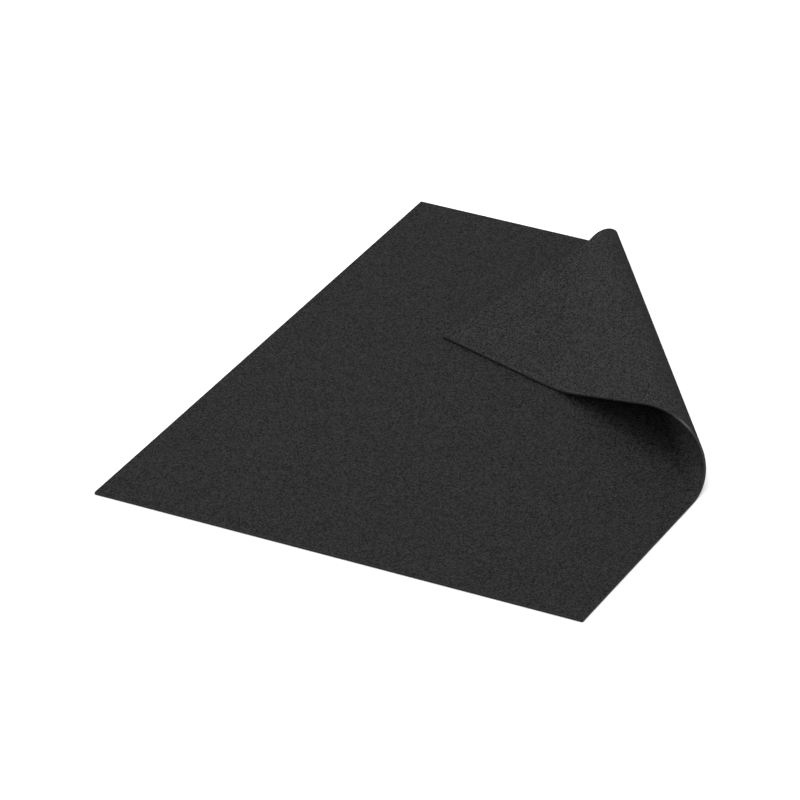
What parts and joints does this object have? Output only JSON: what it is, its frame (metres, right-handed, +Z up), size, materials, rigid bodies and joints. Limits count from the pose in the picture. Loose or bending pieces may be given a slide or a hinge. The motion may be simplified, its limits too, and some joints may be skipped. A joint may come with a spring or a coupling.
{
  "type": "self healing cutting mat",
  "caption": "Thin flexible self healing cutting mat of bonded plies, plain and finely grained, lying flat with a corner rolled over onto it.",
  "frame": {"origin": "middle of the underside of the sheet, on the surface it lies on", "axes": "+X along the short edges, +Y along the long edges, +Z up; the rolled corner is the +X, +Y one"},
  "size_m": [0.45, 0.6, 0.0396],
  "materials": {
    "skin": "matte, fine pebble grain",
    "core": "matte cut edge"
  },
  "bodies": {
    "flat_sheet": {"bottom_ply_flat": "skin", "core_ply_flat": "core", "top_ply_flat": "skin"},
    "curl_01": {"bottom_ply_curl_01": "skin", "core_ply_curl_01": "core", "top_ply_curl_01": "skin"},
    "curl_02": {"bottom_ply_curl_02": "skin", "core_ply_curl_02": "core", "top_ply_curl_02": "skin"},
    "curl_03": {"bottom_ply_curl_03": "skin", "core_ply_curl_03": "core", "top_ply_curl_03": "skin"},
    "curl_04": {"bottom_ply_curl_04": "skin", "core_ply_curl_04": "core", "top_ply_curl_04": "skin"},
    "curl_05": {"bottom_ply_curl_05": "skin", "core_ply_curl_05": "core", "top_ply_curl_05": "skin"},
    "curl_06": {"bottom_ply_curl_06": "skin", "core_ply_curl_06": "core", "top_ply_curl_06": "skin"},
    "curl_07": {"bottom_ply_curl_07": "skin", "core_ply_curl_07": "core", "top_ply_curl_07": "skin"},
    "curl_08": {"bottom_ply_curl_08": "skin", "core_ply_curl_08": "core", "top_ply_curl_08": "skin"},
    "curl_09": {"bottom_ply_curl_09": "skin", "core_ply_curl_09": "core", "top_ply_curl_09": "skin"},
    "curl_10": {"bottom_ply_curl_10": "skin", "core_ply_curl_10": "core", "top_ply_curl_10": "skin"},
    "curl_11": {"bottom_ply_curl_11": "skin", "core_ply_curl_11": "core", "top_ply_curl_11": "skin"},
    "curl_12": {"bottom_ply_curl_12": "skin", "core_ply_curl_12": "core", "top_ply_curl_12": "skin"},
    "curl_13": {"bottom_ply_curl_13": "skin", "core_ply_curl_13": "core", "top_ply_curl_13": "skin"},
    "curl_14": {"bottom_ply_curl_14": "skin", "core_ply_curl_14": "core", "top_ply_curl_14": "skin"},
    "curl_15": {"bottom_ply_curl_15": "skin", "core_ply_curl_15": "core", "top_ply_curl_15": "skin"},
    "curl_16": {"bottom_ply_curl_16": "skin", "core_ply_curl_16": "core", "top_ply_curl_16": "skin"},
    "curl_17": {"bottom_ply_curl_17": "skin", "core_ply_curl_17": "core", "top_ply_curl_17": "skin"},
    "curl_18": {"bottom_ply_curl_18": "skin", "core_ply_curl_18": "core", "top_ply_curl_18": "skin"},
    "corner": {"bottom_ply_corner": "skin", "core_ply_corner": "core", "top_ply_corner": "skin"}
  },
  "joints": [
    {"name": "roll_fold_01", "type": "hinge", "parent": "flat_sheet", "child": "curl_01", "pos_m": [0.09105, 0.10765, 0], "axis": [-0.5715, 0.8206, 0], "range_deg": [0, 12.2]},
    {"name": "roll_fold_02", "type": "hinge", "parent": "curl_01", "child": "curl_02", "pos_m": [0.09248, 0.1109, 0.00066], "axis": [-0.5738, 0.819, -0.0006], "range_deg": [0, 12.2]},
    {"name": "roll_fold_03", "type": "hinge", "parent": "curl_02", "child": "curl_03", "pos_m": [0.09396, 0.11403, 0.00202], "axis": [-0.5754, 0.8179, -0.0015], "range_deg": [0, 12.2]},
    {"name": "roll_fold_04", "type": "hinge", "parent": "curl_03", "child": "curl_04", "pos_m": [0.09527, 0.11696, 0.00407], "axis": [-0.5765, 0.8171, -0.0025], "range_deg": [0, 12.2]},
    {"name": "roll_fold_05", "type": "hinge", "parent": "curl_04", "child": "curl_05", "pos_m": [0.09627, 0.1196, 0.00673], "axis": [-0.5772, 0.8166, -0.0035], "range_deg": [0, 12.2]},
    {"name": "roll_fold_06", "type": "hinge", "parent": "curl_05", "child": "curl_06", "pos_m": [0.0968, 0.1219, 0.00991], "axis": [-0.5777, 0.8162, -0.0046], "range_deg": [0, 12.2]},
    {"name": "roll_fold_07", "type": "hinge", "parent": "curl_06", "child": "curl_07", "pos_m": [0.09678, 0.1238, 0.01348], "axis": [-0.5779, 0.8161, -0.0057], "range_deg": [0, 12.2]},
    {"name": "roll_fold_08", "type": "hinge", "parent": "curl_07", "child": "curl_08", "pos_m": [0.0961, 0.12529, 0.0173], "axis": [-0.578, 0.816, -0.0068], "range_deg": [0, 12.2]},
    {"name": "roll_fold_09", "type": "hinge", "parent": "curl_08", "child": "curl_09", "pos_m": [0.09472, 0.12633, 0.02121], "axis": [-0.5779, 0.8161, -0.008], "range_deg": [0, 12.2]},
    {"name": "roll_fold_10", "type": "hinge", "parent": "curl_09", "child": "curl_10", "pos_m": [0.09259, 0.12694, 0.02504], "axis": [-0.5775, 0.8164, -0.0094], "range_deg": [0, 12.2]},
    {"name": "roll_fold_11", "type": "hinge", "parent": "curl_10", "child": "curl_11", "pos_m": [0.08971, 0.12715, 0.0286], "axis": [-0.5767, 0.8169, -0.0109], "range_deg": [0, 12.2]},
    {"name": "roll_fold_12", "type": "hinge", "parent": "curl_11", "child": "curl_12", "pos_m": [0.08607, 0.127, 0.03173], "axis": [-0.5753, 0.8179, -0.0126], "range_deg": [0, 12.2]},
    {"name": "roll_fold_13", "type": "hinge", "parent": "curl_12", "child": "curl_13", "pos_m": [0.08172, 0.12656, 0.03424], "axis": [-0.5731, 0.8193, -0.0144], "range_deg": [0, 12.2]},
    {"name": "roll_fold_14", "type": "hinge", "parent": "curl_13", "child": "curl_14", "pos_m": [0.07672, 0.12592, 0.03595], "axis": [-0.57, 0.8215, -0.0159], "range_deg": [0, 12.2]},
    {"name": "roll_fold_15", "type": "hinge", "parent": "curl_14", "child": "curl_15", "pos_m": [0.07118, 0.12519, 0.03671], "axis": [-0.5656, 0.8245, -0.0167], "range_deg": [0, 12.2]},
    {"name": "roll_fold_16", "type": "hinge", "parent": "curl_15", "child": "curl_16", "pos_m": [0.0652, 0.12451, 0.03639], "axis": [-0.5598, 0.8284, -0.0164], "range_deg": [0, 12.2]},
    {"name": "roll_fold_17", "type": "hinge", "parent": "curl_16", "child": "curl_17", "pos_m": [0.05896, 0.12404, 0.03485], "axis": [-0.5526, 0.8333, -0.014], "range_deg": [0, 12.2]},
    {"name": "settle_fold_1", "type": "hinge", "parent": "curl_17", "child": "curl_18", "pos_m": [0.01133, 0.13496, 0.01689], "axis": [0.3862, -0.9187, -0.0827], "range_deg": [0, 11.4]},
    {"name": "settle_fold_2", "type": "hinge", "parent": "curl_18", "child": "corner", "pos_m": [0.00179, 0.13419, 0.01458], "axis": [0.351, -0.9317, -0.0932], "range_deg": [0, 11.4]}
  ],
  "couplings": [
    {"joint": "roll_fold_02", "follows": "roll_fold_01", "ratio": 1},
    {"joint": "roll_fold_03", "follows": "roll_fold_01", "ratio": 1},
    {"joint": "roll_fold_04", "follows": "roll_fold_01", "ratio": 1},
    {"joint": "roll_fold_05", "follows": "roll_fold_01", "ratio": 1},
    {"joint": "roll_fold_06", "follows": "roll_fold_01", "ratio": 1},
    {"joint": "roll_fold_07", "follows": "roll_fold_01", "ratio": 1},
    {"joint": "roll_fold_08", "follows": "roll_fold_01", "ratio": 1},
    {"joint": "roll_fold_09", "follows": "roll_fold_01", "ratio": 1},
    {"joint": "roll_fold_10", "follows": "roll_fold_01", "ratio": 1},
    {"joint": "roll_fold_11", "follows": "roll_fold_01", "ratio": 1},
    {"joint": "roll_fold_12", "follows": "roll_fold_01", "ratio": 1},
    {"joint": "roll_fold_13", "follows": "roll_fold_01", "ratio": 1},
    {"joint": "roll_fold_14", "follows": "roll_fold_01", "ratio": 1},
    {"joint": "roll_fold_15", "follows": "roll_fold_01", "ratio": 1},
    {"joint": "roll_fold_16", "follows": "roll_fold_01", "ratio": 1},
    {"joint": "roll_fold_17", "follows": "roll_fold_01", "ratio": 1},
    {"joint": "settle_fold_1", "follows": "roll_fold_01", "ratio": 0.93443},
    {"joint": "settle_fold_2", "follows": "roll_fold_01", "ratio": 0.93443}
  ]
}
